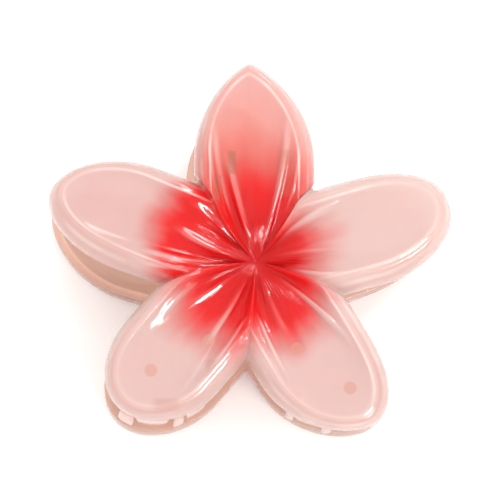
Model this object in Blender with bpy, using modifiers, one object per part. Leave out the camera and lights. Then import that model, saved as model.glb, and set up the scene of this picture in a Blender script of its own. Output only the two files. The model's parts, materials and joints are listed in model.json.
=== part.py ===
"""Flower hair clip: two five-petal flower jaws, back to back, that turn on a sprung pin.

The clip lies on the petals of its back jaw: +Z points away from the surface, +Y runs along the top petals
that are squeezed to open it, and the origin is the middle of its footprint. Each jaw is built in its own
frame, with the flower's axis along z, the rims of the petals in the plane z = 0 and the cup of the flower
below it. The back jaw is turned over: its z runs the other way.
"""

import math
from collections import namedtuple

import bmesh
import bpy
from mathutils import Matrix, Vector
from mathutils.bvhtree import BVHTree

MM = 0.001

# Petals of each jaw, counter-clockwise seen from the front: bearing of the axis in degrees, length, half
# width and distance of the widest place from the flower's axis in mm, exponent of the tip (0.5 is an ellipse,
# less is blunter) and how far the tip leans to the left of the axis in mm. The back jaw's petals are turned
# a little against the front jaw's.
Petal = namedtuple("Petal", "bearing length half_width widest tip lean")
FRONT_PETALS = (
    Petal(bearing=16.2, length=40.8, half_width=11.0, widest=23, tip=0.46, lean=0.9),
    Petal(bearing=91.7, length=40.0, half_width=12.1, widest=20.3, tip=0.76, lean=0.7),
    Petal(bearing=161, length=43.5, half_width=10.9, widest=24.9, tip=0.55, lean=1.0),
    Petal(bearing=229.4, length=40.0, half_width=11.6, widest=25, tip=0.52, lean=-1.0),
    Petal(bearing=302.2, length=40.0, half_width=11.8, widest=22.2, tip=0.54, lean=3.3),
)
BACK_PETALS = (
    Petal(bearing=22.5, length=40.9, half_width=11.0, widest=23, tip=0.46, lean=0.0),
    Petal(bearing=93.8, length=40.2, half_width=12.1, widest=20.3, tip=0.76, lean=1.1),
    Petal(bearing=163.8, length=43.7, half_width=10.9, widest=24.9, tip=0.55, lean=-2.8),
    Petal(bearing=230.2, length=40.5, half_width=11.6, widest=25, tip=0.52, lean=-1.1),
    Petal(bearing=305, length=39.4, half_width=11.8, widest=22.2, tip=0.54, lean=3.3),
)
ROOT_NARROWING = 0.10
NOTCH_ROUNDING = 1.2 * MM
TIP_INSET = 1.15
SIDE_POINTS = 2
TIP_POINTS = 6
LAST_TIP_ANGLE = 80

# Section of a jaw
CUP_DEPTH = 7.5 * MM
WALL = 1.8 * MM
RIM_INSET = 2.6 * MM
RIM_LAND = 0.8 * MM
FUNNEL_DEPTH = 5.6 * MM
FUNNEL_RADIUS = 21 * MM
SCOOP_DEPTH = 2.6 * MM
FACE_RINGS = (0.14, 0.3, 0.5, 0.7, 0.86, 0.95)
FLANK_ANGLES = (25, 50, 72, 90)

# Hinge: its axis lies behind the top petal, and the jaws converge towards the lower petals
HINGE_Y = 17 * MM
HINGE_DEPTH = 18.8 * MM
JAW_ANGLE = math.radians(16)
PIN_RADIUS = 1.10 * MM
PIN_PLAY = 0.06 * MM
LUG_THICKNESS = 1.8 * MM
LUG_RADIUS = 3.2 * MM
LUG_FOOT = (-6 * MM, 5 * MM)
FRONT_LUG_X = 5.3 * MM
BACK_LUG_X = 7.4 * MM
PIN_HEAD_RADIUS = 1.9 * MM
PEENED_RADIUS = 1.5 * MM
PIN_HEAD = 0.8 * MM
END_PLAY = 0.3 * MM

# Teeth under the lower petals, as spans along the hinge's axis in mm: each jaw's stand between the other's
FRONT_TEETH = ((-23.6, -16.4), (-13.2, -8.8), (6.0, 8.2), (13.6, 16.0), (24.0, 27.4))
BACK_TEETH = ((-27.4, -24.0), (-16.0, -13.6), (8.6, 13.2), (16.4, 23.6))
TEETH_TOP_Y = -20 * MM
TOOTH_SWEEP = math.radians(13)
TOOTH_GAP = 0.5 * MM
TOOTH_STEPS = 4
TOOTH_SKIN = 0.15 * MM
TOOTH_ROOT_SWEEP = math.radians(1.3)

# Round pads on the inner side of the lower petals, as places in mm
PADS = ((-20.7, -22.2), (-9.4, -16.2), (8.2, -17.4), (18.8, -25.0))
PAD_RADIUS = 1.3 * MM
PAD_HEIGHT = 0.4 * MM

# Torsion spring round the pin
WIRE_RADIUS = 0.5 * MM
COIL_RADIUS = 2.5 * MM
COIL_PITCH = 1.35 * MM
COIL_TURNS = 4
COIL_POINTS = 14
LEG_LENGTH = 15.5 * MM
LEG_ANGLE = math.radians(51)

BLUSH_PLASTIC = ((0.93, 0.62, 0.57, 1), 0.12, 0.0)
STEEL = ((0.62, 0.61, 0.60, 1), 0.28, 1.0)
SPRING_STEEL = ((0.50, 0.49, 0.48, 1), 0.32, 1.0)


def clear_scene():
    for thing in list(bpy.data.objects):
        bpy.data.objects.remove(thing)


def make_collection(name):
    collection = bpy.data.collections.new(name)
    bpy.context.scene.collection.children.link(collection)
    return collection


def make_material(name, look):
    colour, roughness, metallic = look
    material = bpy.data.materials.new(name)
    material.use_nodes = True
    shader = material.node_tree.nodes["Principled BSDF"]
    shader.inputs["Base Color"].default_value = colour
    shader.inputs["Roughness"].default_value = roughness
    shader.inputs["Metallic"].default_value = metallic
    material.diffuse_color = colour
    return material


def make_object(name, mesh, collection):
    thing = bpy.data.objects.new(name, mesh)
    collection.objects.link(thing)
    return thing


def polar(radius, angle):
    return Vector((radius * math.cos(angle), radius * math.sin(angle)))


def half_width(petal, u, inset):
    """Half the petal's width at the distance u from the flower's axis, inside the outline by the inset."""
    widest, tip = petal.widest * MM, tip_distance(petal, inset)
    width = petal.half_width * MM - inset
    if u < widest:
        return width * (1 - ROOT_NARROWING * (1 - u / widest) ** 2)
    return width * max(0.0, 1 - ((u - widest) / (tip - widest)) ** 2) ** petal.tip


def tip_distance(petal, inset):
    return petal.length * MM - TIP_INSET * inset


def petal_point(petal, u, side, inset):
    """A point of the petal's outline; side is -1 for its right edge and +1 for its left edge."""
    widest = petal.widest * MM
    lean = petal.lean * MM * max(0.0, (u - widest) / (petal.length * MM - widest)) ** 1.6
    v = side * half_width(petal, u, inset) + lean
    bearing = math.radians(petal.bearing)
    return polar(u, bearing) + polar(v, bearing + math.pi / 2)


def meeting_distance(petal, half_angle, inset):
    """Distance along the petal's axis at which its edge crosses the line to the next petal."""
    low, high = 0.0, petal.widest * MM
    for _ in range(30):
        middle = (low + high) / 2
        if middle * math.tan(half_angle) < half_width(petal, middle, inset):
            low = middle
        else:
            high = middle
    return low


def half_angle_between(first, second):
    return math.radians((second.bearing - first.bearing) % 360) / 2


def notch_distance(first, second, inset):
    """Distance along two neighbours' axes to the notch between them, midway where their edges differ."""
    half_angle = half_angle_between(first, second)
    return sum(meeting_distance(petal, half_angle, inset) for petal in (first, second)) / 2


def edge_of_petal(petal, side, half_angle, notch, inset):
    """Points of one edge, from the notch beside the petal to just before its tip."""
    start = max(notch, meeting_distance(petal, half_angle, inset)) + NOTCH_ROUNDING
    widest, tip = petal.widest * MM, tip_distance(petal, inset)
    distances = [start + (widest - start) * i / SIDE_POINTS for i in range(SIDE_POINTS)]
    for i in range(TIP_POINTS + 1):
        turn = math.radians(LAST_TIP_ANGLE) * i / TIP_POINTS
        distances.append(widest + (tip - widest) * math.sin(turn))
    return [petal_point(petal, u, side, inset) for u in distances]


def flower_outline(petals, inset):
    """The flower's outline moved inward by the inset, counter-clockwise, with how far each point turns from
    its petal's axis, as a share of the angle to the line between two petals."""
    points, shares = [], []
    for index, petal in enumerate(petals):
        before, after = petals[index - 1], petals[(index + 1) % len(petals)]
        half_before, half_after = half_angle_between(before, petal), half_angle_between(petal, after)
        bearing = math.radians(petal.bearing)
        right = edge_of_petal(petal, -1, half_before, notch_distance(before, petal, inset), inset)
        notch = notch_distance(petal, after, inset)
        left = edge_of_petal(petal, 1, half_after, notch, inset)
        tip = petal_point(petal, tip_distance(petal, inset), 1, inset)
        for point in right + [tip] + left[::-1]:
            angle = (math.atan2(point.y, point.x) - bearing + math.pi) % math.tau - math.pi
            points.append(point)
            shares.append(min(1.0, -angle / half_before if angle < 0 else angle / half_after))
        points.append(polar(notch / math.cos(half_after) + NOTCH_ROUNDING / 2, bearing + half_after))
        shares.append(1.0)
    return points, shares


def face_depth(ring, radius, share):
    """Depth of the flower's face below its rims: a funnel in the middle and a scoop in each petal."""
    funnel = FUNNEL_DEPTH * max(0.0, 1 - radius / FUNNEL_RADIUS) ** 2
    scoop = SCOOP_DEPTH * 1.3 * math.sqrt(ring) * (1 - ring ** 4) * (1 - share ** 3)
    return funnel + scoop


def raised(points, height):
    return [Vector((point.x, point.y, height)) for point in points]


def sheet_rings(petals, inset, flank, top, bottom):
    """Rings of one side of the shell, from near the flower's axis out to the edge of its cup."""
    crests, shares = flower_outline(petals, inset + flank + RIM_LAND)
    rings = []
    for ring in FACE_RINGS:
        rings.append([
            Vector((crest.x * ring, crest.y * ring, top - face_depth(ring, crest.length * ring, share)))
            for crest, share in zip(crests, shares)
        ])
    rings.append(raised(crests, top))
    for angle in (0,) + FLANK_ANGLES:
        turn = math.radians(angle)
        outline, _ = flower_outline(petals, inset + flank * (1 - math.sin(turn)))
        rings.append(raised(outline, top - (top - bottom) * (1 - math.cos(turn))))
    return rings


def loft(rings, first_pole, last_pole):
    """A closed body over a row of rings, with a point at each end."""
    bm = bmesh.new()
    rows = [[bm.verts.new(point) for point in ring] for ring in rings]
    start, end = bm.verts.new(first_pole), bm.verts.new(last_pole)
    count = len(rows[0])
    for i in range(count):
        j = (i + 1) % count
        bm.faces.new((start, rows[0][i], rows[0][j]))
        bm.faces.new((end, rows[-1][j], rows[-1][i]))
        for inner, outer in zip(rows, rows[1:]):
            bm.faces.new((inner[i], outer[i], outer[j], inner[j]))
    return bm


def jaw_shell(petals):
    """The flower: a scooped face and a rounded wall round every petal, open on the inner side."""
    outer = sheet_rings(petals, 0.0, RIM_INSET, 0.0, -CUP_DEPTH)
    inner = sheet_rings(petals, WALL, RIM_INSET - WALL / 2, -WALL, -CUP_DEPTH)
    centre = -face_depth(0.0, 0.0, 1.0)
    return loft(outer + inner[::-1], Vector((0, 0, centre)), Vector((0, 0, centre - WALL)))


def tooth_band(petals):
    """A wall below the lower petals' edge, swept about the hinge's axis, from which the teeth are cut."""
    insets = (TOOTH_SKIN, WALL - TOOTH_SKIN)
    sides = [raised(flower_outline(petals, inset)[0], -CUP_DEPTH) for inset in insets]
    bm = bmesh.new()
    rows = [[bm.verts.new(point) for point in pair] for pair in zip(*sides) if pair[0].y < TEETH_TOP_Y]
    for (a, b), (c, d) in zip(rows, rows[1:]):
        bm.faces.new((a, c, d, b))
    hinge = Vector((0, HINGE_Y, -HINGE_DEPTH))
    bmesh.ops.rotate(bm, verts=bm.verts, cent=hinge, matrix=Matrix.Rotation(-TOOTH_ROOT_SWEEP, 3, "X"))
    bmesh.ops.spin(
        bm,
        geom=list(bm.verts) + list(bm.edges) + list(bm.faces),
        cent=hinge,
        axis=(1, 0, 0),
        angle=TOOTH_SWEEP + TOOTH_ROOT_SWEEP,
        steps=TOOTH_STEPS,
    )
    bmesh.ops.recalc_face_normals(bm, faces=bm.faces)
    return bm


def box_mesh(name, low, high):
    low, high = Vector(low), Vector(high)
    bm = bmesh.new()
    bmesh.ops.create_cube(bm, size=1.0)
    bmesh.ops.scale(bm, verts=bm.verts, vec=high - low)
    bmesh.ops.translate(bm, verts=bm.verts, vec=(low + high) / 2)
    return to_mesh(bm, name)


def to_mesh(bm, name):
    mesh = bpy.data.meshes.new(name)
    bm.to_mesh(mesh)
    bm.free()
    return mesh


def apply_modifiers(thing):
    """Turns the object's modifiers into its mesh."""
    evaluated = thing.evaluated_get(bpy.context.evaluated_depsgraph_get())
    mesh = bpy.data.meshes.new_from_object(evaluated)
    thing.modifiers.clear()
    thing.data = mesh


def combine(thing, tools, operation):
    """Joins the tools to the object, or cuts with them, one after the other, and removes them."""
    for tool in tools:
        modifier = thing.modifiers.new(operation.title(), "BOOLEAN")
        modifier.operation = operation
        modifier.solver = "EXACT"
        modifier.object = tool
        bpy.context.view_layer.update()
        apply_modifiers(thing)
        bpy.data.objects.remove(tool)


def make_teeth(petals, spans, cutters):
    """The teeth as separate solids: the band in each tooth's span, ending just above the other jaw's edge."""
    hinge = Vector((0, HINGE_Y, -HINGE_DEPTH))
    lean = Matrix.Translation(hinge) @ Matrix.Rotation(-JAW_ANGLE, 4, "X")
    opposite_edge = CUP_DEPTH - HINGE_DEPTH + TOOTH_GAP
    teeth = []
    for left, right in spans:
        tooth = make_object("tooth", to_mesh(tooth_band(petals), "tooth"), cutters)
        low = (left * MM, -60 * MM - HINGE_Y, opposite_edge)
        high = (right * MM, TEETH_TOP_Y - HINGE_Y, 40 * MM)
        span = box_mesh("span", low, high)
        span.transform(lean)
        combine(tooth, [make_object("span", span, cutters)], "INTERSECT")
        teeth.append(tooth)
    return teeth


def wall_height(wall, x, y, side):
    """Height of the shell's outer face (side +1) or inner face (side -1) at a place."""
    return wall.ray_cast(Vector((x, y, side)), Vector((0, 0, -side)))[0].z


def lug_outline():
    """Side view of a hinge lug about its pin, as height over distance along +Y, with a straight foot."""
    low, high = LUG_FOOT
    points = [Vector((low + (high - low) * step / 5, HINGE_DEPTH)) for step in range(6)]
    for step in range(13):
        angle = math.radians(20 - 220 * step / 12)
        points.append(polar(LUG_RADIUS, angle))
    return points


def make_lug(x, wall, cutters):
    """A flat lug with a round end, the pin's hole through it and its foot set half-way into the wall."""
    curve = bpy.data.curves.new("lug", "CURVE")
    curve.dimensions = "2D"
    curve.fill_mode = "BOTH"
    curve.extrude = LUG_THICKNESS / 2
    outline = lug_outline()
    spline = curve.splines.new("POLY")
    spline.points.add(len(outline) - 1)
    for point, place in zip(spline.points, outline):
        point.co = (place.x, place.y, 0, 1)
    spline.use_cyclic_u = True
    drawn = make_object("lug_curve", curve, cutters)
    bpy.context.view_layer.update()
    mesh = bpy.data.meshes.new_from_object(drawn.evaluated_get(bpy.context.evaluated_depsgraph_get()))
    bpy.data.objects.remove(drawn)
    bm = bmesh.new()
    bm.from_mesh(mesh)
    bmesh.ops.remove_doubles(bm, verts=bm.verts, dist=0.001 * MM)
    stand_up = Matrix(((0, 0, 1, 0), (1, 0, 0, 0), (0, 1, 0, 0), (0, 0, 0, 1)))
    bmesh.ops.transform(bm, matrix=Matrix.Translation((x, HINGE_Y, -HINGE_DEPTH)) @ stand_up, verts=bm.verts)
    for vertex in bm.verts:
        if vertex.co.z > -1 * MM:
            vertex.co.z = wall_height(wall, vertex.co.x, vertex.co.y, 1) - WALL / 2
    bmesh.ops.recalc_face_normals(bm, faces=bm.faces)
    lug = make_object("lug", to_mesh(bm, "lug"), cutters)
    hole = bmesh.new()
    bmesh.ops.create_cone(
        hole,
        cap_ends=True,
        segments=32,
        radius1=PIN_RADIUS + PIN_PLAY,
        radius2=PIN_RADIUS + PIN_PLAY,
        depth=LUG_THICKNESS * 2,
        matrix=Matrix.Translation((x, HINGE_Y, -HINGE_DEPTH)) @ Matrix.Rotation(math.pi / 2, 4, "Y"),
    )
    combine(lug, [make_object("hole", to_mesh(hole, "hole"), cutters)], "DIFFERENCE")
    return lug


def make_pad(x, y, wall, cutters):
    """A low round pad that stands on the inner side of a petal."""
    place = Vector((x, y)) * MM
    surface = wall_height(wall, place.x, place.y, -1)
    bm = bmesh.new()
    bmesh.ops.create_cone(
        bm,
        cap_ends=True,
        segments=16,
        radius1=PAD_RADIUS,
        radius2=PAD_RADIUS,
        depth=PAD_HEIGHT * 2,
        matrix=Matrix.Translation((place.x, place.y, surface)),
    )
    return make_object("pad", to_mesh(bm, "pad"), cutters)


def make_jaw(name, petals, side, lug_x, spans, collection, cutters):
    """One jaw about the hinge's axis. side is +1 for the front jaw and -1 for the back jaw, turned over."""
    shell = jaw_shell(petals)
    wall = BVHTree.FromBMesh(shell)
    jaw = make_object(name, to_mesh(shell, name), collection)
    added = make_teeth(petals, spans, cutters)
    added += [make_lug(x, wall, cutters) for x in (-lug_x, lug_x)]
    added += [make_pad(x, y, wall, cutters) for x, y in PADS]
    combine(jaw, added, "UNION")
    to_hinge = Matrix.Translation((0, -HINGE_Y, HINGE_DEPTH))
    jaw.data.transform(Matrix.Diagonal((1, 1, side, 1)) @ to_hinge)
    if side < 0:
        jaw.data.flip_normals()
    return jaw


def make_pin(name, collection):
    """A straight steel pin with a flat head on one end and a smaller peened head on the other."""
    reach = BACK_LUG_X + LUG_THICKNESS / 2 + END_PLAY
    profile = (
        (0, reach + PIN_HEAD),
        (PIN_HEAD_RADIUS - 0.3 * MM, reach + PIN_HEAD),
        (PIN_HEAD_RADIUS, reach + PIN_HEAD - 0.3 * MM),
        (PIN_HEAD_RADIUS, reach),
        (PIN_RADIUS, reach),
        (PIN_RADIUS, -reach),
        (PEENED_RADIUS, -reach),
        (PEENED_RADIUS, -reach - PIN_HEAD / 2),
        (PIN_RADIUS * 0.7, -reach - PIN_HEAD),
        (0, -reach - PIN_HEAD),
    )
    bm = bmesh.new()
    row = [bm.verts.new((radius, 0, height)) for radius, height in profile]
    for first, second in zip(row, row[1:]):
        bm.edges.new((first, second))
    pin = make_object(name, to_mesh(bm, name), collection)
    turn = pin.modifiers.new("Screw", "SCREW")
    turn.axis = "Z"
    turn.steps = 32
    turn.render_steps = 32
    turn.use_merge_vertices = True
    turn.merge_threshold = 0.01 * MM
    turn.use_smooth_shade = True
    pin.rotation_euler = (0, math.pi / 2, 0)
    return pin


def make_spring(name, collection):
    """A torsion spring: close turns round the pin and two straight legs behind the top petals."""
    half = COIL_PITCH * COIL_TURNS / 2
    start, end = LEG_ANGLE + math.pi / 2, math.tau * COIL_TURNS + 3 * math.pi / 2 - LEG_ANGLE
    steps = COIL_TURNS * COIL_POINTS
    coil = []
    for step in range(steps + 1):
        share = step / steps
        angle = start + (end - start) * share
        across = half * (2 * share - 1)
        coil.append(Vector((across, COIL_RADIUS * math.cos(angle), COIL_RADIUS * math.sin(angle))))
    first_leg = Vector((0, math.cos(LEG_ANGLE), math.sin(LEG_ANGLE))) * LEG_LENGTH
    last_leg = Vector((0, math.cos(LEG_ANGLE), -math.sin(LEG_ANGLE))) * LEG_LENGTH
    points = [coil[0] + first_leg] + coil + [coil[-1] + last_leg]
    curve = bpy.data.curves.new(name, "CURVE")
    curve.dimensions = "3D"
    curve.bevel_depth = WIRE_RADIUS
    curve.bevel_resolution = 2
    curve.use_fill_caps = True
    spline = curve.splines.new("POLY")
    spline.points.add(len(points) - 1)
    for point, place in zip(spline.points, points):
        point.co = (*place, 1)
    return make_object(name, curve, collection)


def footprint_centre(parts):
    """The middle of the box round the parts, seen from above."""
    bpy.context.view_layer.update()
    depsgraph = bpy.context.evaluated_depsgraph_get()
    corners = [
        part.matrix_world @ vertex.co
        for part in parts
        for vertex in part.evaluated_get(depsgraph).to_mesh().vertices
    ]
    return [(min(c[axis] for c in corners) + max(c[axis] for c in corners)) / 2 for axis in (0, 1)]


def finish(part, material):
    part.data.materials.clear()
    part.data.materials.append(material)
    if part.type == "MESH":
        part.data.shade_smooth()
        part.data.set_sharp_from_angle(angle=math.radians(35))


def main():
    clear_scene()
    clip = make_collection("flower_hair_clip")
    cutters = make_collection("cutters")
    back = make_jaw("back_jaw", BACK_PETALS, -1, BACK_LUG_X, BACK_TEETH, clip, cutters)
    front = make_jaw("front_jaw", FRONT_PETALS, 1, FRONT_LUG_X, FRONT_TEETH, clip, cutters)
    pin = make_pin("hinge_pin", clip)
    spring = make_spring("torsion_spring", clip)
    front.rotation_euler = (JAW_ANGLE, 0, 0)
    spring.rotation_euler = (JAW_ANGLE / 2, 0, 0)

    hinge = bpy.data.objects.new("hinge_axis", None)
    clip.objects.link(hinge)
    parts = (back, front, pin, spring)
    for part in parts:
        part.parent = hinge
    hinge.location = (0, 0, HINGE_DEPTH)
    middle_x, middle_y = footprint_centre(parts)
    hinge.location = (-middle_x, -middle_y, HINGE_DEPTH)

    finish(back, make_material("back_plastic", BLUSH_PLASTIC))
    finish(front, make_material("front_plastic", BLUSH_PLASTIC))
    finish(pin, make_material("pin_steel", STEEL))
    finish(spring, make_material("spring_steel", SPRING_STEEL))


main()
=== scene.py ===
"""Flower hair clip on a pale table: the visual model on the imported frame.

Each jaw is built in its own frame in millimetres, as the CAD's jaws are: the flower's axis along z, the rims
of the petals in the plane z = 0, the cup of the flower below it and the hinge's axis at y = HINGE_Y and
z = -HINGE_DEPTH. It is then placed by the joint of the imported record.
"""

import json
import math
from collections import namedtuple

import bmesh
import bpy
import numpy as np
from mathutils import Matrix, Vector
from mathutils.bvhtree import BVHTree


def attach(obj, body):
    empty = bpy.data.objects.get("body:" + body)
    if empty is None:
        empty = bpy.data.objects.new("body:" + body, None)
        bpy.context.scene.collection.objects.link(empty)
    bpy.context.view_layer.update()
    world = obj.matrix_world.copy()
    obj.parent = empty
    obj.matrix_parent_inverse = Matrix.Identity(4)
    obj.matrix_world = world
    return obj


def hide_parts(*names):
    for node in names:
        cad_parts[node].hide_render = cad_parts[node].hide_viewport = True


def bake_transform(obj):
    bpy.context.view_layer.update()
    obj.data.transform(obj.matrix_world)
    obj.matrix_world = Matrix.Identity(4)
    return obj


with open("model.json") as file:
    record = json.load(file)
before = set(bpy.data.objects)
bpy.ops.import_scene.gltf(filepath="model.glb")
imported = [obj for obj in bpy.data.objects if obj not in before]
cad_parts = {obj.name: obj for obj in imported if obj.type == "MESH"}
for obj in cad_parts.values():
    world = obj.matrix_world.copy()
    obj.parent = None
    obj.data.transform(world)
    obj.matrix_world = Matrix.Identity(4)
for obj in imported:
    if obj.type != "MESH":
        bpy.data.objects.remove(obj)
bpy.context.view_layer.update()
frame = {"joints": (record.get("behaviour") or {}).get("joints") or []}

MM = 0.001

# Petals, counter-clockwise seen from the front: bearing of the axis in degrees, length, half width and
# distance of the widest place from the flower's axis in mm, exponent of the tip and how far the tip leans
# to the left
Petal = namedtuple("Petal", "bearing length half_width widest tip lean")
FRONT_PETALS = (
    Petal(16.2, 40.8, 11.0, 23, 0.46, 0.9),
    Petal(91.7, 40.0, 12.1, 20.3, 0.76, 0.7),
    Petal(161, 43.5, 10.9, 24.9, 0.55, 1.0),
    Petal(229.4, 40.0, 11.6, 25, 0.52, -1.0),
    Petal(302.2, 40.0, 11.8, 22.2, 0.54, 3.3),
)
BACK_PETALS = (
    Petal(22.5, 40.9, 11.0, 23, 0.46, 0.0),
    Petal(93.8, 40.2, 12.1, 20.3, 0.76, 1.1),
    Petal(163.8, 43.7, 10.9, 24.9, 0.55, -2.8),
    Petal(230.2, 40.5, 11.6, 25, 0.52, -1.1),
    Petal(305, 39.4, 11.8, 22.2, 0.54, 3.3),
)
ROOT_NARROWING = 0.10
TIP_INSET = 1.15

# Shell of a jaw, mm
CUP_DEPTH = 7.5
WALL = 1.8
RIM_INSET = 2.6
RIM_LAND = 0.8
FUNNEL_DEPTH = 5.6
FUNNEL_RADIUS = 21.0
SCOOP_DEPTH = 2.4
EDGE_ROUND = 0.3

# How far the petals' crests stand off their even place, in mm, and how much more each does towards its tip
CREST_SHIFT = (-0.3, 0.5)
OUTER_SHIFTS = ((0.5, 0.4), (-0.4, 0.5), (-0.4, 0.6), (-0.9, -1.2), (0.5, -1.2))

# Where each petal meets the next one, counter-clockwise: +1 if the next petal lies over this one and -1 if it
# lies under it, how high the step between them is, and how far the line between them turns near the middle
Overlap = namedtuple("Overlap", "order step turn")
OVERLAPS = (
    Overlap(-1, 0.9, -4),
    Overlap(-1, 1.2, 12),
    Overlap(1, 1.2, -8),
    Overlap(-1, 0.5, 0),
    Overlap(-1, 1.0, 5),
)

# Hinge, mm
HINGE_Y = 17.0
HINGE_DEPTH = 18.8
JAW_ANGLE = math.radians(16)
PIN_RADIUS = 1.10
LUG_THICKNESS = 1.8
LUG_RADIUS = 3.2
LUG_FOOT = (-6.0, 5.0)
FRONT_LUG_X = 5.3
BACK_LUG_X = 7.4
WIRE_RADIUS = 0.5
COIL_RADIUS = 2.5
COIL_PITCH = 1.35
COIL_TURNS = 4
LEG_LENGTH = 15.5
LEG_ANGLE = 51

# Teeth, mm along the hinge's axis
FRONT_TEETH = ((-23.6, -16.4), (-13.2, -8.8), (6.0, 8.2), (13.6, 16.0), (24.0, 27.4))
BACK_TEETH = ((-27.4, -24.0), (-16.0, -13.6), (8.6, 13.2), (16.4, 23.6))
TEETH_TOP_Y = -20.0
TOOTH_SKIN = 0.15
TOOTH_ROOT_SWEEP = 1.3
TOOTH_SWEEP = 13.0
TOOTH_GAP = 0.5
TOOTH_STEPS = 14

# Round pads inside the lower petals, mm
PADS = ((-20.7, -22.2), (-9.4, -16.2), (8.2, -17.4), (18.8, -25.0))
PAD_RADIUS = 1.3
PAD_HEIGHT = 0.4

# Points of the jaws' skin
SIDE_COLUMNS = 16
TIP_COLUMNS = 30
FACE_RINGS = 56
FLANK_RINGS = 12
INNER_RINGS = 24


# ---- outline of the flower -----------------------------------------------------------------------------

def half_width(petal, u, inset):
    """Half width of a petal at a distance along its axis, with its edge moved inward by the inset."""
    tip = petal.length - TIP_INSET * inset
    width = petal.half_width - inset
    if u < petal.widest:
        return width * (1 - ROOT_NARROWING * (1 - u / petal.widest) ** 2)
    return width * max(0.0, 1 - ((u - petal.widest) / (tip - petal.widest)) ** 2) ** petal.tip


def petal_point(petal, u, side, inset):
    """A point of a petal's edge, on its left (side +1) or right (side -1)."""
    lean = petal.lean * max(0.0, (u - petal.widest) / (petal.length - petal.widest)) ** 1.6
    v = side * half_width(petal, u, inset) + lean
    bearing = math.radians(petal.bearing)
    across = bearing + math.pi / 2
    return u * math.cos(bearing) + v * math.cos(across), u * math.sin(bearing) + v * math.sin(across)


def meeting_distance(petal, half_angle, inset):
    """Distance along a petal's axis at which its edge crosses the line midway to its neighbour."""
    low, high = 0.0, petal.widest
    for _ in range(30):
        middle = (low + high) / 2
        if middle * math.tan(half_angle) < half_width(petal, middle, inset):
            low = middle
        else:
            high = middle
    return low


def half_angle_between(first, second):
    return math.radians((second.bearing - first.bearing) % 360) / 2


def notch_distance(petals, index, inset):
    """Distance along two neighbours' axes to the notch between them, midway where their edges differ."""
    half = half_angle_between(petals[index], petals[(index + 1) % 5])
    return sum(meeting_distance(petals[i % 5], half, inset) for i in (index, index + 1)) / 2


def notch_point(petals, index, inset):
    """The notch between a petal and the next one."""
    half = half_angle_between(petals[index], petals[(index + 1) % 5])
    reach = notch_distance(petals, index, inset) / math.cos(half) + 0.2
    bearing = math.radians(petals[index].bearing) + half
    return reach * math.cos(bearing), reach * math.sin(bearing)


def petal_outline(petals, index, inset):
    """The petal's edge from the notch on its right over its tip to the notch on its left."""
    petal = petals[index]
    tip = petal.length - TIP_INSET * inset
    edges = []
    for side, neighbour in ((-1, index - 1), (1, index)):
        half = half_angle_between(petals[neighbour], petals[(neighbour + 1) % 5])
        start = max(meeting_distance(petal, half, inset), notch_distance(petals, neighbour, inset)) + 0.5
        distances = [start + (petal.widest - start) * i / SIDE_COLUMNS for i in range(SIDE_COLUMNS)]
        distances += [
            petal.widest + (tip - petal.widest) * math.sin(math.pi / 2 * i / TIP_COLUMNS)
            for i in range(TIP_COLUMNS + (side < 0))
        ]
        edge = [petal_point(petal, u, side, inset) for u in distances]
        edges.append([notch_point(petals, neighbour, inset)] + edge)
    return np.array(edges[0] + edges[1][::-1])


def smooth(low, high, value):
    x = np.clip((value - low) / (high - low), 0, 1)
    return x * x * (3 - 2 * x)


# ---- one petal's part of the shell ---------------------------------------------------------------------

# Ribs along the petals, in mm on the petal's own axes (u from the flower's axis, v to the left): the rib runs
# from its first point past its second to its third, with its height and its half width in mm
Rib = namedtuple("Rib", "start middle end height width")
RIBS = (
    (
        Rib((3, 1.5), (10, 5.0), (22, 6.8), 0.60, 1.1),
        Rib((3, 0.0), (9, -0.5), (18, -2.5), 0.35, 1.0),
        Rib((4, -2.0), (11, -5.5), (25, -8.0), 0.50, 0.9),
        Rib((9, 7.5), (16, 8.2), (28, 8.0), 0.35, 0.7),
    ),
    (
        Rib((3, 0.8), (11, 3.2), (24, 6.2), 0.80, 0.8),
        Rib((6, 3.8), (13, 6.2), (31, 7.8), 0.65, 0.7),
        Rib((8, 6.0), (17, 8.6), (33, 7.6), 0.50, 0.6),
        Rib((3, -1.2), (14, -4.2), (33, -7.0), 0.85, 0.9),
        Rib((7, -4.6), (14, -7.2), (29, -8.6), 0.50, 0.7),
    ),
    (
        Rib((3, 0.6), (10, 0.8), (20, -1.5), 0.65, 1.0),
        Rib((3, 1.6), (11, 4.4), (26, 5.8), 0.65, 0.9),
        Rib((5, 3.6), (14, 7.0), (34, 8.0), 0.50, 0.8),
        Rib((3, -1.0), (9, -4.4), (19, -6.4), 0.45, 0.9),
    ),
    (
        Rib((3, 0.8), (10, 2.4), (22, 3.4), 0.70, 0.8),
        Rib((4, -1.0), (10, -2.6), (18, -4.4), 0.40, 1.0),
        Rib((8, -5.4), (14, -6.4), (24, -6.0), 0.45, 0.9),
        Rib((7, 5.0), (13, 6.4), (27, 7.2), 0.45, 0.7),
        Rib((12, 2.4), (22, 5.2), (36, 5.6), 0.30, 0.9),
    ),
    (
        Rib((3, 1.2), (11, 4.4), (27, 7.4), 0.60, 0.8),
        Rib((3, -0.8), (9, -1.8), (19, -2.2), 0.40, 1.0),
        Rib((7, -4.8), (13, -6.0), (27, -6.6), 0.55, 0.7),
        Rib((10, 7.0), (16, 8.6), (28, 9.0), 0.40, 0.7),
    ),
)


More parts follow.
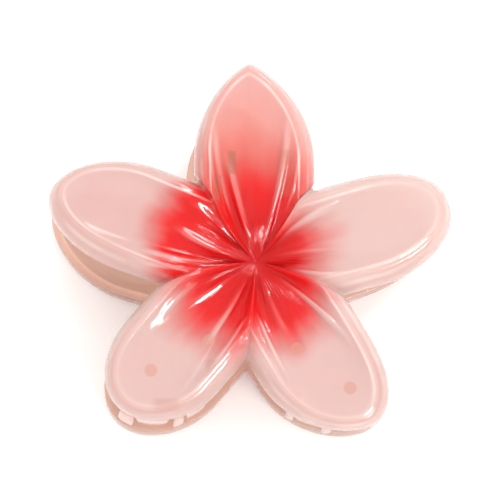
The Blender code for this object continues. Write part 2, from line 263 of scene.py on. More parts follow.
def rib_heights(petal, ribs, points):
    """Height that the petal's ribs add at each point of its face."""
    bearing = math.radians(petal.bearing)
    u = points[:, 0] * math.cos(bearing) + points[:, 1] * math.sin(bearing)
    v = points[:, 1] * math.cos(bearing) - points[:, 0] * math.sin(bearing)
    heights = np.zeros(len(points))
    for rib in ribs:
        (u0, v0), (u1, v1), (u2, v2) = rib.start, rib.middle, rib.end
        line = (
            v0 * (u - u1) * (u - u2) / ((u0 - u1) * (u0 - u2))
            + v1 * (u - u0) * (u - u2) / ((u1 - u0) * (u1 - u2))
            + v2 * (u - u0) * (u - u1) / ((u2 - u0) * (u2 - u1))
        )
        along = np.clip((u - u0) / (u2 - u0), 0, 1)
        envelope = smooth(0, 0.3, along) * (1 - smooth(0.6, 1.0, along))
        away = (v - line) / (rib.width * (0.6 + 0.7 * along))
        heights += rib.height * envelope * np.exp(-np.where(away > 0, away * 1.7, away) ** 2)
    return heights


def shares_of(petals, index, points):
    """How far each point is turned from the petal's axis, as a share of the way to its neighbour."""
    petal = petals[index]
    before = half_angle_between(petals[index - 1], petal)
    after = half_angle_between(petal, petals[(index + 1) % 5])
    angle = np.arctan2(points[:, 1], points[:, 0]) - math.radians(petal.bearing)
    angle = (angle + math.pi) % math.tau - math.pi
    return np.clip(np.where(angle < 0, angle / before, angle / after), -1, 1)


def overlap_at(index, side):
    """The overlap on one side of a petal and its order seen from there: +1 if this petal lies on top."""
    overlap = OVERLAPS[index] if side > 0 else OVERLAPS[index - 1]
    return overlap, -overlap.order * side


def face(petals, index, crest, ring, plain):
    """Plan and height of one ring of the petal's face; plain leaves out the ribs and the steps."""
    shares = shares_of(petals, index, crest)
    radius = np.hypot(crest[:, 0], crest[:, 1]) * ring
    turn = np.zeros(len(crest))
    height = -FUNNEL_DEPTH * np.clip(1 - radius / FUNNEL_RADIUS, 0, 1) ** 2
    bowl = 1 - np.maximum(ring ** 3.2, np.abs(shares) ** 4)
    scoop = SCOOP_DEPTH * smooth(0.0, 0.5, ring) * bowl
    height -= scoop
    for side in (-1, 1):
        overlap, top = overlap_at(index, side)
        near = np.clip(shares * side, 0, 1)
        turn += math.radians(overlap.turn) * (1 - ring) ** 0.8 * near ** 2
        if plain:
            continue
        step = overlap.step * smooth(0.04, 0.4, ring)
        if top > 0:
            height += 0.45 * step * np.exp(-((near - 0.93) / 0.10) ** 2)
        else:
            height -= 0.75 * step * smooth(0.55, 1.0, near)
            turn -= side * np.where(near > 0.98, 0.012, 0)
    if not plain:
        height += rib_heights(petals[index], RIBS[index], crest * ring) * (1 - smooth(0.85, 1.0, ring))
    cosine, sine = np.cos(turn), np.sin(turn)
    x, y = crest[:, 0] * ring, crest[:, 1] * ring
    return np.stack([x * cosine - y * sine, x * sine + y * cosine, height], axis=1)


def petal_rows(petals, index):
    """Rows of points from the flower's axis over the crest, the wall and its edge to the inner side's middle,
    with each row's place: 0 to 1 on the face, to 2 down the wall, to 3 over the edge and 4 inside."""
    rows, places = [], []
    crest = petal_outline(petals, index, RIM_INSET + RIM_LAND)
    out = smooth(19, 32, np.hypot(crest[:, 0], crest[:, 1]))[:, None]
    shift = np.array(CREST_SHIFT) + out * np.array(OUTER_SHIFTS[index])
    crest = crest + shift
    for i in range(1, FACE_RINGS + 1):
        ring = (i / FACE_RINGS) ** 0.9
        rows.append(face(petals, index, crest, ring, False))
        places.append(ring)
    rim = rows[-1][:, 2]
    rows[-1][:, 2] -= 0.10
    for share, drop, place in ((0.8, 0.0, 1.0), (0.55, 0.04, 1.03), (0.3, 0.12, 1.06)):
        outline = petal_outline(petals, index, RIM_INSET + share * RIM_LAND) + shift
        rows.append(np.column_stack([outline, rim - drop]))
        places.append(place)
    for i in range(FLANK_RINGS + 1):
        angle = math.pi / 2 * i / FLANK_RINGS
        inward = 1 - math.sin(angle)
        outline = petal_outline(petals, index, RIM_INSET * inward) + shift * inward
        low = CUP_DEPTH - EDGE_ROUND
        rows.append(np.column_stack([outline, rim - 0.15 - (rim - 0.15 + low) * (1 - math.cos(angle))]))
        places.append(1.08 + 0.92 * i / FLANK_RINGS)
    for inset, depth, place in (
        (EDGE_ROUND * 0.3, CUP_DEPTH - EDGE_ROUND * 0.3, 2.2),
        (EDGE_ROUND, CUP_DEPTH, 2.4),
        (WALL - EDGE_ROUND, CUP_DEPTH, 2.7),
        (WALL - EDGE_ROUND * 0.3, CUP_DEPTH - EDGE_ROUND * 0.3, 2.9),
    ):
        outline = petal_outline(petals, index, inset)
        rows.append(np.column_stack([outline, np.full(len(outline), -depth)]))
        places.append(place)
    flank = RIM_INSET - WALL / 2
    for i in range(FLANK_RINGS, -1, -1):
        angle = math.pi / 2 * i / FLANK_RINGS
        outline = petal_outline(petals, index, WALL + flank * (1 - math.sin(angle)))
        depth = WALL + (CUP_DEPTH - EDGE_ROUND - WALL) * (1 - math.cos(angle))
        rows.append(np.column_stack([outline, np.full(len(outline), -depth)]))
        places.append(3.0 + 0.9 * (1 - i / FLANK_RINGS))
    crest = petal_outline(petals, index, WALL + flank + RIM_LAND)
    for i in range(INNER_RINGS, 0, -1):
        row = face(petals, index, crest, i / INNER_RINGS, True)
        row[:, 2] -= WALL
        rows.append(row)
        places.append(4.0)
    return rows, places


def add_float(mesh, name, values):
    attribute = mesh.attributes.new(name, "FLOAT", "POINT")
    attribute.data.foreach_set("value", np.asarray(values, dtype=np.float32))


def jaw_shell_mesh(name, petals, side):
    """The whole flower as one closed skin. side is -1 for the jaw that is turned over."""
    per_petal = [petal_rows(petals, index) for index in range(5)]
    places = per_petal[0][1]
    row_count = len(places)
    grid = np.concatenate([np.stack(rows) for rows, _ in per_petal], axis=1)
    columns = grid.shape[1]
    counts = [np.stack(rows).shape[1] for rows, _ in per_petal]
    numbers = np.concatenate([np.full(count, index) for index, count in enumerate(counts)])
    crests = [petal_outline(petals, index, RIM_INSET + RIM_LAND) for index in range(5)]
    shares = np.concatenate([shares_of(petals, index, crest) for index, crest in enumerate(crests)])
    top = np.array([[0, 0, -FUNNEL_DEPTH - 0.15]])
    bottom = np.array([[0, 0, -FUNNEL_DEPTH - WALL]])
    points = np.concatenate([grid.reshape(-1, 3), top, bottom])
    faces = []
    first, last = row_count * columns, row_count * columns + 1
    for j in range(columns):
        k = (j + 1) % columns
        faces.append((first, j, k))
        faces.append((last, (row_count - 1) * columns + k, (row_count - 1) * columns + j))
        for i in range(row_count - 1):
            faces.append((i * columns + j, (i + 1) * columns + j, (i + 1) * columns + k, i * columns + k))
    points[:, 2] *= side
    if side < 0:
        faces = [face[::-1] for face in faces]
    mesh = bpy.data.meshes.new(name)
    mesh.from_pydata((points * MM).tolist(), [], faces)
    mesh.shade_smooth()
    radius = np.hypot(points[:, 0], points[:, 1])
    add_float(mesh, "reach", radius)
    add_float(mesh, "share", np.concatenate([np.tile(shares, row_count), [0, 0]]))
    add_float(mesh, "place", np.concatenate([np.repeat(places, columns), [0, 4]]))
    add_float(mesh, "petal", np.concatenate([np.tile(numbers, row_count), [0, 0]]))
    rib = np.zeros(len(points))
    for index in range(5):
        chosen = np.flatnonzero(np.tile(numbers, row_count) == index)
        rib[chosen] = rib_heights(petals[index], RIBS[index], points[chosen, :2])
    add_float(mesh, "rib", rib)
    mesh.validate()
    return mesh


# ---- materials -----------------------------------------------------------------------------------------

class Nodes:
    """A material's node tree with short calls for the nodes that are used often."""

    def __init__(self, name):
        self.material = bpy.data.materials.new(name)
        self.material.use_nodes = True
        self.tree = self.material.node_tree
        self.shader = self.tree.nodes["Principled BSDF"]

    def add(self, kind, **settings):
        node = self.tree.nodes.new(kind)
        for key, value in settings.items():
            setattr(node, key, value)
        return node

    def put(self, socket, value):
        """Link a socket into the socket, or set a plain value on it."""
        if isinstance(value, bpy.types.NodeSocket):
            self.tree.links.new(value, socket)
        else:
            socket.default_value = value

    def math(self, operation, first, second=0.0, third=0.0):
        node = self.add("ShaderNodeMath", operation=operation)
        for socket, value in zip(node.inputs, (first, second, third)):
            self.put(socket, value)
        return node.outputs[0]

    def times(self, first, *others):
        for other in others:
            first = self.math("MULTIPLY", first, other)
        return first

    def plus(self, first, *others):
        for other in others:
            first = self.math("ADD", first, other)
        return first

    def step(self, value, low, high, to_low=0.0, to_high=1.0):
        """A smooth step of the value, from one level at low to the other at high."""
        node = self.add("ShaderNodeMapRange", interpolation_type="SMOOTHSTEP")
        for socket, given in zip(node.inputs, (value, low, high, to_low, to_high)):
            self.put(socket, given)
        return node.outputs[0]

    def attribute(self, name):
        return self.add("ShaderNodeAttribute", attribute_name=name).outputs["Fac"]

    def noise(self, scale, detail=2.0, roughness=0.5, vector=None):
        node = self.add("ShaderNodeTexNoise")
        node.inputs["Scale"].default_value = scale
        node.inputs["Detail"].default_value = detail
        node.inputs["Roughness"].default_value = roughness
        self.put(node.inputs["Vector"], vector or self.place())
        return node.outputs["Fac"]

    def fan_noise(self, across, along, shift, detail):
        """Noise drawn out along the petals: its scale across and along them and its shift between them."""
        node = self.add("ShaderNodeTexNoise", noise_dimensions="2D")
        node.inputs["Scale"].default_value = 1.0
        node.inputs["Detail"].default_value = detail
        fan = self.add("ShaderNodeCombineXYZ")
        outward = self.times(self.attribute("reach"), along)
        self.put(fan.inputs[0], self.times(self.attribute("share"), across))
        self.put(fan.inputs[1], self.plus(outward, self.times(self.attribute("petal"), shift)))
        self.put(node.inputs["Vector"], fan.outputs[0])
        return node.outputs["Fac"]

    def place(self):
        return self.add("ShaderNodeTexCoord").outputs["Object"]

    def flat_place(self):
        node = self.add("ShaderNodeVectorMath", operation="MULTIPLY")
        self.put(node.inputs[0], self.place())
        node.inputs[1].default_value = (1, 1, 0)
        return node.outputs[0]

    def mix(self, share, first, second):
        node = self.add("ShaderNodeMix", data_type="RGBA")
        self.put(node.inputs[0], share)
        self.put(node.inputs[6], first)
        self.put(node.inputs[7], second)
        return node.outputs[2]

    def bump(self, height, strength, distance):
        node = self.add("ShaderNodeBump")
        node.inputs["Strength"].default_value = strength
        node.inputs["Distance"].default_value = distance
        self.put(node.inputs["Height"], height)
        return node.outputs[0]


def srgb(red, green, blue):
    """A colour from its display values, 0 to 255."""
    def linear(value):
        value /= 255
        return value / 12.92 if value <= 0.04045 else ((value + 0.055) / 1.055) ** 2.4
    return (linear(red), linear(green), linear(blue), 1)


TONE = (0.765, 0.785, 0.80)


def tone(red, green, blue):
    """A colour of the plastic, darkened to suit the bright room."""
    return tuple(share * value for share, value in zip(TONE, srgb(red, green, blue))) + (1,)


# For each petal: the reach of the red in mm (full up to the first distance, none beyond the second), and how
# salmon and how pale it is and how strong the painted highlight along its rim is
RED_REACH = ((7.5, 20.5), (13, 28), (18.5, 26), (13.5, 25), (12.5, 23))
SALMON = (0.0, 0.95, 0.0, 0.0, 0.05)
PALE = (1.0, 0.3, 0.25, 0.65, 0.8)
RIM_HIGHLIGHT = (0.8, 1.0, 0.75, 0.3, 0.9)

# Painted shade where the hinge's lugs show through the top petal and the gaps between the teeth through the
# lower
# left one, in mm: middle and half width across, low and high end, blur, strength
SHADES = (
    (-5.4, 0.8, 16.8, 21.9, 0.35, 0.62),
    (-8.1, 0.7, 11.5, 17.0, 0.4, 0.45),
    (5.3, 1.0, 12.5, 22.4, 0.5, 0.25),
    (-17.6, 2.4, -31.0, -27.4, 0.9, 0.22),
    (-8.9, 1.0, -24.5, -19.6, 0.7, 0.20),
)


def paint_distance(nodes, cloud):
    """Distance from the flower's axis in mm, made uneven, by which the paint fades."""
    off_middle = nodes.math("POWER", nodes.math("ABSOLUTE", nodes.attribute("share")), 2.0)
    streaks = nodes.fan_noise(2.2, 0.05, 7.3, 2.0)
    reach = nodes.attribute("reach")
    on_rib = nodes.times(nodes.step(nodes.attribute("rib"), 0.12, 0.6), nodes.step(reach, 5, 12))
    return nodes.plus(
        reach,
        nodes.times(nodes.math("SUBTRACT", cloud, 0.5), 5.0),
        nodes.times(off_middle, 3.5),
        nodes.times(nodes.math("SUBTRACT", streaks, 0.5), 5.0),
        nodes.times(on_rib, 3.0),
    )


def petal_masks(nodes, near):
    """How red, how salmon and how pale the surface is and how strong its painted rim highlight is, by petal.
    """
    petal = nodes.attribute("petal")
    masks = [0.0, 0.0, 0.0, 0.0]
    for index, (full, none) in enumerate(RED_REACH):
        here = nodes.math("COMPARE", petal, float(index), 0.5)
        shares = (nodes.step(near, full, none, 1.0, 0.0), SALMON[index], PALE[index], RIM_HIGHLIGHT[index])
        masks = [nodes.plus(mask, nodes.times(here, share)) for mask, share in zip(masks, shares)]
    return masks


def face_colour(nodes, cloud, near, red, salmon, pale):
    """Pink or salmon petals, red paint in the middle of the flower and a painted sheen along the ribs'
    crests.
    """
    pink = nodes.mix(cloud, tone(236, 198, 192), tone(228, 186, 180))
    pink = nodes.mix(pale, pink, tone(238, 208, 201))
    salmon = nodes.times(salmon, nodes.step(near, 14, 40, 1.0, 0.35))
    colour = nodes.mix(salmon, pink, tone(246, 138, 124))
    colour = nodes.mix(nodes.math("POWER", red, 0.9), colour, tone(236, 30, 32))
    deep = nodes.times(red, nodes.step(near, 3, 16, 1.0, 0.0))
    colour = nodes.mix(deep, colour, tone(220, 4, 10))
    # Painted sheen: the ribs' crests are made paler, as if they caught the light
    painted_rib_sheen = nodes.step(nodes.attribute("rib"), 0.2, 0.65)
    painted_rib_sheen = nodes.times(painted_rib_sheen, nodes.step(nodes.attribute("reach"), 5, 14, 0.0, 0.22))
    return nodes.mix(painted_rib_sheen, colour, tone(252, 214, 206))


def painted_rim_highlights(nodes, colour, rim_highlight, front):
    """A painted highlight along the crest and, on the front jaw, a broken painted highlight further down the
    wall.
    """
    place, reach = nodes.attribute("place"), nodes.attribute("reach")
    # Painted highlight: a pale line along the crest, broken by noise
    rim = nodes.times(
        nodes.step(place, 0.985, 0.999),
        nodes.step(place, 1.01, 1.05, 1.0, 0.0),
        nodes.step(reach, 12, 20),
        nodes.step(nodes.noise(55.0), 0.40, 0.62, 0.25, 0.85),
        rim_highlight if front else 0.35,
    )
    colour = nodes.mix(rim, colour, tone(255, 236, 230))
    if not front:
        return colour
    # Painted highlight: a second broken pale line down the front jaw's wall
    painted_fold_highlight = nodes.times(
        nodes.step(place, 1.22, 1.34),
        nodes.step(place, 1.36, 1.5, 1.0, 0.0),
        nodes.step(reach, 14, 22),
        nodes.step(nodes.noise(70.0, 3.0), 0.38, 0.62, 0.1, 0.7),
        rim_highlight,
    )
    return nodes.mix(painted_fold_highlight, colour, tone(255, 240, 236))


def paint_see_through_shade(nodes, colour):
    """Painted tints where the pads show through the front jaw's plastic, and painted shade where the lugs and
    the gaps between the teeth show through it.
    """
    spots = 0.0
    for x, y in PADS:
        centre = nodes.add("ShaderNodeVectorMath", operation="DISTANCE")
        nodes.put(centre.inputs[0], nodes.flat_place())
        centre.inputs[1].default_value = (x * MM, y * MM, 0)
        spot = nodes.step(centre.outputs["Value"], 1.1 * MM, 1.45 * MM, 1.0, 0.0)
        spots = nodes.plus(spots, spot)
    colour = nodes.mix(nodes.times(spots, 0.55), colour, tone(232, 172, 150))
    split = nodes.add("ShaderNodeSeparateXYZ")
    nodes.put(split.inputs[0], nodes.place())
    # Painted shade: darker brown patches where the lugs and the gaps between the teeth lie behind the plastic
    for middle, half, low, high, blur, strength in SHADES:
        across = nodes.math("ABSOLUTE", nodes.math("SUBTRACT", split.outputs[0], middle * MM))
        shade = nodes.times(
            nodes.step(across, (half - blur) * MM, (half + blur) * MM, strength, 0.0),
            nodes.step(split.outputs[1], low * MM, (low + 2 * blur) * MM),
            nodes.step(split.outputs[1], (high - blur) * MM, high * MM, 1.0, 0.0),
        )
        colour = nodes.mix(shade, colour, tone(190, 116, 88))
    return colour


def petal_relief(nodes):
    """Fine grooves fanning out of the middle of the flower, and slow waves all over."""
    reach = nodes.attribute("reach")
    middle = nodes.times(nodes.step(reach, 7, 22, 1.0, 0.0), nodes.step(reach, 0.8, 4.0))
    grooves = nodes.times(nodes.fan_noise(9.0, 0.10, 5.1, 3.0), middle, 1.2)
    waves = nodes.times(nodes.noise(140.0, 2.0, 0.5), 0.5)
    return nodes.bump(nodes.plus(grooves, waves), 0.5, 0.0006)


def petal_plastic(name, front):
    """Glossy milky plastic: pink petals with painted rim highlights, red paint in the middle, and a tan inner
    side with painted shade and a painted glow.
    """
    nodes = Nodes(name)
    shader = nodes.shader.inputs
    reach, place = nodes.attribute("reach"), nodes.attribute("place")
    cloud = nodes.noise(90.0, 3.0, 0.55)
    grain = nodes.noise(420.0, 2.0, 0.5)
    near = paint_distance(nodes, cloud)
    red, salmon, pale, rim_highlight = petal_masks(nodes, near)
    colour = face_colour(nodes, cloud, near, red, salmon, pale)
    wall = nodes.times(nodes.step(place, 1.02, 1.2), nodes.step(reach, 18, 28))
    # On the back jaw the wall is tan: partly its plain plastic, partly painted shade for the shade it lies in
    wall_tone_and_back_shade = tone(238, 198, 188) if front else tone(214, 174, 157)
    colour = nodes.mix(nodes.times(wall, 0.5 if front else 0.95), colour, wall_tone_and_back_shade)
    colour = painted_rim_highlights(nodes, colour, rim_highlight, front)
    if front:
        colour = paint_see_through_shade(nodes, colour)
    # The inner side is tan: its unpainted plastic, darkened with painted shade
    tan = nodes.mix(cloud, tone(222, 184, 166), tone(212, 172, 153))
    inside = nodes.step(place, 2.0, 2.6)
    nodes.put(shader["Base Color"], nodes.mix(inside, colour, tan))
    # Painted glow: the inner side gives off light of its own, standing in for light coming through the
    # plastic
    nodes.put(shader["Emission Color"], tan)
    nodes.put(shader["Emission Strength"], nodes.times(inside, 0.28 if front else 0.52))
    clear = nodes.times(wall, nodes.step(place, 1.5, 2.0, 1.0, 0.5))
    solid = nodes.math("MAXIMUM", red, nodes.step(clear, 0, 1, 0.55, 0.30))
    nodes.put(shader["Alpha"], nodes.step(solid, 0, 1, 0.62, 0.97))
    nodes.put(shader["Roughness"], nodes.step(grain, 0.3, 0.7, 0.05, 0.10))
    nodes.put(shader["Coat Weight"], nodes.step(nodes.attribute("rib"), 0.03, 0.3, 0.22, 0.8))
    nodes.put(shader["Normal"], petal_relief(nodes))
    shader["Coat Roughness"].default_value = 0.03
    shader["IOR"].default_value = 1.49
    shader["Specular IOR Level"].default_value = 0.15
    shader["Sheen Weight"].default_value = 0.12
    shader["Sheen Roughness"].default_value = 0.25
    shader["Subsurface Weight"].default_value = 0.8
    shader["Subsurface Radius"].default_value = (1.0, 0.6, 0.5)
    shader["Subsurface Scale"].default_value = 0.003
    return nodes.material


def clear_plastic(name):
    """The same plastic without paint, on teeth, lugs and pads, with a faint painted glow."""
    nodes = Nodes(name)
    cloud = nodes.noise(120.0, 2.0)
    colour = nodes.mix(cloud, tone(240, 204, 194), tone(230, 188, 176))
    nodes.put(nodes.shader.inputs["Base Color"], colour)
    # Painted glow: the teeth, lugs and pads give off a little light of their own
    nodes.put(nodes.shader.inputs["Emission Color"], colour)
    nodes.shader.inputs["Emission Strength"].default_value = 0.10
    nodes.put(nodes.shader.inputs["Roughness"], nodes.step(cloud, 0.3, 0.7, 0.10, 0.18))
    nodes.shader.inputs["IOR"].default_value = 1.49
    nodes.shader.inputs["Alpha"].default_value = 0.75
    nodes.shader.inputs["Subsurface Weight"].default_value = 0.3
    nodes.shader.inputs["Subsurface Radius"].default_value = (1.0, 0.55, 0.45)
    nodes.shader.inputs["Subsurface Scale"].default_value = 0.003
    nodes.shader.inputs["Coat Weight"].default_value = 0.4
    nodes.shader.inputs["Coat Roughness"].default_value = 0.03
    nodes.put(nodes.shader.inputs["Normal"], nodes.bump(nodes.noise(300.0), 0.15, 0.0004))
    return nodes.material


def steel(name, colour, direction):
    """Drawn steel wire: fine lines along the drawing direction."""
    nodes = Nodes(name)
    stretch = nodes.add("ShaderNodeVectorMath", operation="MULTIPLY")
    nodes.put(stretch.inputs[0], nodes.place())
    stretch.inputs[1].default_value = direction
    lines = nodes.noise(900.0, 3.0, 0.6, stretch.outputs[0])
    darker = tuple(0.75 * value for value in colour[:3]) + (1,)
    nodes.put(nodes.shader.inputs["Base Color"], nodes.mix(lines, colour, darker))
    nodes.put(nodes.shader.inputs["Roughness"], nodes.step(lines, 0.2, 0.8, 0.22, 0.42))
    nodes.shader.inputs["Metallic"].default_value = 1.0
    nodes.put(nodes.shader.inputs["Normal"], nodes.bump(lines, 0.2, 0.0001))
    return nodes.material


# ---- pieces --------------------------------------------------------------------------------------------

joint = frame["joints"][0]
HINGE = Vector(joint["pos_m"])
TO_BACK = Matrix.Translation(HINGE) @ Matrix.Translation(Vector((0, -HINGE_Y, -HINGE_DEPTH)) * MM)
TO_FRONT = (
    Matrix.Translation(HINGE) @ Matrix.Rotation(JAW_ANGLE, 4, "X")
    @ Matrix.Translation(Vector((0, -HINGE_Y, HINGE_DEPTH)) * MM)
)


def add_piece(name, mesh, matrix, body, material):
    """One visible piece that rides on a body."""
    piece = bpy.data.objects.new(name, mesh)
    bpy.context.scene.collection.objects.link(piece)
    piece.matrix_world = matrix
    mesh.materials.clear()
    mesh.materials.append(material)
    bpy.context.view_layer.update()
    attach(piece, body)
    return piece


def tooth_sweep(y):
    """Angle in degrees that a tooth sweeps about the hinge, to end short of the other jaw's edge."""
    radius = math.hypot(HINGE_Y - y, HINGE_DEPTH - CUP_DEPTH)
    edge = math.degrees(math.asin((HINGE_DEPTH - CUP_DEPTH) / radius))
    gap = math.degrees(TOOTH_GAP / radius)
    return min(TOOTH_SWEEP, 2 * edge - math.degrees(JAW_ANGLE) - gap)


def tooth_mesh(petals, span, side):
    """A tooth: a piece of the lower petals' wall swept about the hinge, getting thinner towards its tip."""
    outer = np.concatenate([petal_outline(petals, index, TOOTH_SKIN) for index in range(5)])
    inner = np.concatenate([petal_outline(petals, index, WALL - TOOTH_SKIN) for index in range(5)])
    wanted = (outer[:, 1] < TEETH_TOP_Y) & (outer[:, 0] > span[0]) & (outer[:, 0] < span[1])
    outer, inner = outer[wanted], inner[wanted]
    count = len(outer)
    middle = (outer + inner) / 2
    bm = bmesh.new()
    grid = []
    for i in range(TOOTH_STEPS + 1):
        down = i / TOOTH_STEPS
        thin = 1 - 0.45 * down ** 2 - 0.35 * max(0.0, down - 0.9) / 0.1
        row = []
        for j in range(count):
            along = j / (count - 1) * 2 - 1
            rounded = tooth_sweep(middle[j, 1]) * (1 - 0.10 * abs(along) ** 6)
            sweep = math.radians(-TOOTH_ROOT_SWEEP + (rounded + TOOTH_ROOT_SWEEP) * down)
            pair = []
            for edge_point in (outer[j], inner[j]):
                x, y = middle[j] + (edge_point - middle[j]) * thin
                x = x - (x - middle[count // 2, 0]) * 0.10 * down ** 2
                y_rel, z_rel = y - HINGE_Y, HINGE_DEPTH - CUP_DEPTH
                cosine, sine = math.cos(sweep), math.sin(sweep)
                pair.append(bm.verts.new((
                    x * MM,
                    (y_rel * cosine - z_rel * sine + HINGE_Y) * MM,
                    (y_rel * sine + z_rel * cosine - HINGE_DEPTH) * side * MM,
                )))
            row.append(pair)
        grid.append(row)
    for i in range(TOOTH_STEPS):
        for j in range(count - 1):
            for k in (0, 1):
                bm.faces.new((grid[i][j][k], grid[i][j + 1][k], grid[i + 1][j + 1][k], grid[i + 1][j][k]))
        for j in (0, count - 1):
            bm.faces.new((grid[i][j][0], grid[i][j][1], grid[i + 1][j][1], grid[i + 1][j][0]))
    for i in (0, TOOTH_STEPS):
        for j in range(count - 1):
            bm.faces.new((grid[i][j][0], grid[i][j + 1][0], grid[i][j + 1][1], grid[i][j][1]))
    bmesh.ops.recalc_face_normals(bm, faces=bm.faces)
    mesh = bpy.data.meshes.new("tooth")
    bm.to_mesh(mesh)
    bm.free()
    mesh.shade_smooth()
    return mesh


def evaluated_mesh(thing):
    """The mesh that a curve object makes. The object goes."""
    bpy.context.view_layer.update()
    mesh = bpy.data.meshes.new_from_object(thing.evaluated_get(bpy.context.evaluated_depsgraph_get()))
    bpy.data.objects.remove(thing)
    return mesh


def lug_mesh(x, side, wall):
    """A flat lug with rounded edges and the pin's hole, its foot inside the wall."""
    curve = bpy.data.curves.new("lug", "CURVE")
    curve.dimensions = "2D"
    curve.fill_mode = "BOTH"
    bevel = 0.25
    curve.extrude = (LUG_THICKNESS / 2 - bevel) * MM
    curve.bevel_depth = bevel * MM
    curve.bevel_resolution = 3
    low, high = LUG_FOOT
    points = [(low + (high - low) * step / 10, HINGE_DEPTH - 1.2) for step in range(11)]
    points += [
        (LUG_RADIUS * math.cos(angle), LUG_RADIUS * math.sin(angle))
        for angle in (math.radians(20 - 220 * step / 32) for step in range(33))
    ]
    hole = [
        ((PIN_RADIUS + 0.06 + bevel) * math.cos(angle), (PIN_RADIUS + 0.06 + bevel) * math.sin(angle))
        for angle in (math.tau * step / 48 for step in range(48))
    ]
    for outline, shrink in ((points, bevel), (hole, 0)):
        spline = curve.splines.new("POLY")
        spline.points.add(len(outline) - 1)
        inner = 1 - shrink / LUG_RADIUS
        for point, (across, height) in zip(spline.points, outline):
            if shrink and height < 5:
                height *= inner
            point.co = (across * inner * MM, height * MM, 0, 1)
        spline.use_cyclic_u = True
    drawn = bpy.data.objects.new("lug", curve)
    bpy.context.scene.collection.objects.link(drawn)
    mesh = evaluated_mesh(drawn)
    stand_up = Matrix(((0, 0, 1, 0), (1, 0, 0, 0), (0, 1, 0, 0), (0, 0, 0, 1)))
    mesh.transform(Matrix.Translation(Vector((x, HINGE_Y, -HINGE_DEPTH)) * MM) @ stand_up)
    for vertex in mesh.vertices:
        if vertex.co.z > -2.5 * MM:
            hit = wall.ray_cast(Vector((vertex.co.x, vertex.co.y, 0.01)), Vector((0, 0, -1)))[0]
            vertex.co.z = hit.z - WALL * 0.6 * MM
        vertex.co.z *= side
    if side < 0:
        mesh.flip_normals()
    mesh.shade_smooth()
    mesh.set_sharp_from_angle(angle=math.radians(50))
    return mesh


def pad_mesh(x, y, side, wall):
    """A low round pad with a rounded edge, on the inner side of a petal."""
    surface = wall.ray_cast(Vector((x * MM, y * MM, -0.01)), Vector((0, 0, 1)))[0].z / MM
    top = PAD_HEIGHT
    profile = ((0.6, top), (0.88, top * 0.9), (1.0, top * 0.55), (1.02, -0.2))
    bm = bmesh.new()
    rings = []
    for share, height in profile:
        rings.append([
            bm.verts.new((
                (x + PAD_RADIUS * share * math.cos(math.tau * i / 32)) * MM,
                (y + PAD_RADIUS * share * math.sin(math.tau * i / 32)) * MM,
                (surface - height) * side * MM,
            ))
            for i in range(32)
        ])
    bm.faces.new(rings[0])
    for one, two in zip(rings, rings[1:]):
        for i in range(32):
            j = (i + 1) % 32
            bm.faces.new((one[i], one[j], two[j], two[i]))
    bm.faces.new(rings[-1])
    bmesh.ops.recalc_face_normals(bm, faces=bm.faces)
    mesh = bpy.data.meshes.new("pad")
    bm.to_mesh(mesh)
    bm.free()
    mesh.shade_smooth()
    return mesh


def make_jaw(name, petals, side, matrix, body, spans, lug_x):
    """A jaw's flower, teeth, lugs and pads. side is +1 for the front jaw and -1 for the back jaw."""
    shell = jaw_shell_mesh(name, petals, side)
    bm = bmesh.new()
    bm.from_mesh(shell)
    if side < 0:
        bmesh.ops.scale(bm, verts=bm.verts, vec=(1, 1, -1))
    wall = BVHTree.FromBMesh(bm)
    bm.free()
    clear = clear_plastic(name + "_clear_plastic")
    petal = petal_plastic(name + "_petal_plastic", side > 0)
    jaw = add_piece(name + "_flower", shell, matrix, body, petal)
    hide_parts(name)
    for number, span in enumerate(spans, 1):
        add_piece(f"{name}_tooth_{number}", tooth_mesh(petals, span, side), matrix, body, clear)
    for number, x in enumerate((-lug_x, lug_x), 1):
        add_piece(f"{name}_lug_{number}", lug_mesh(x, side, wall), matrix, body, clear)
    for number, (x, y) in enumerate(PADS, 1):
        add_piece(f"{name}_pad_{number}", pad_mesh(x, y, side, wall), matrix, body, clear)


def pin_mesh():
    """The hinge pin along x about the origin: a domed head, a slightly smaller peened end."""
    end = BACK_LUG_X + LUG_THICKNESS / 2 + 0.3
    profile = [(0.0, end + 0.8), (1.3, end + 0.76), (1.65, end + 0.66), (1.85, end + 0.45), (1.9, end + 0.25)]
    profile += [(1.88, end + 0.05), (1.8, end), (PIN_RADIUS, end), (PIN_RADIUS, -end), (1.42, -end)]
    profile += [(1.5, -end - 0.1), (1.46, -end - 0.35), (1.25, -end - 0.58), (0.8, -end - 0.76)]
    profile += [(0.0, -end - 0.8)]
    bm = bmesh.new()
    row = [bm.verts.new((x * MM, radius * MM, 0)) for radius, x in profile]
    edges = [bm.edges.new(pair) for pair in zip(row, row[1:])]
    bmesh.ops.spin(bm, geom=row + edges, cent=(0, 0, 0), axis=(1, 0, 0), angle=math.tau, steps=64)
    bmesh.ops.remove_doubles(bm, verts=bm.verts, dist=0.001 * MM)
    bmesh.ops.recalc_face_normals(bm, faces=bm.faces)
    mesh = bpy.data.meshes.new("pin")
    bm.to_mesh(mesh)
    bm.free()
    mesh.shade_smooth()
    mesh.set_sharp_from_angle(angle=math.radians(50))
    return mesh


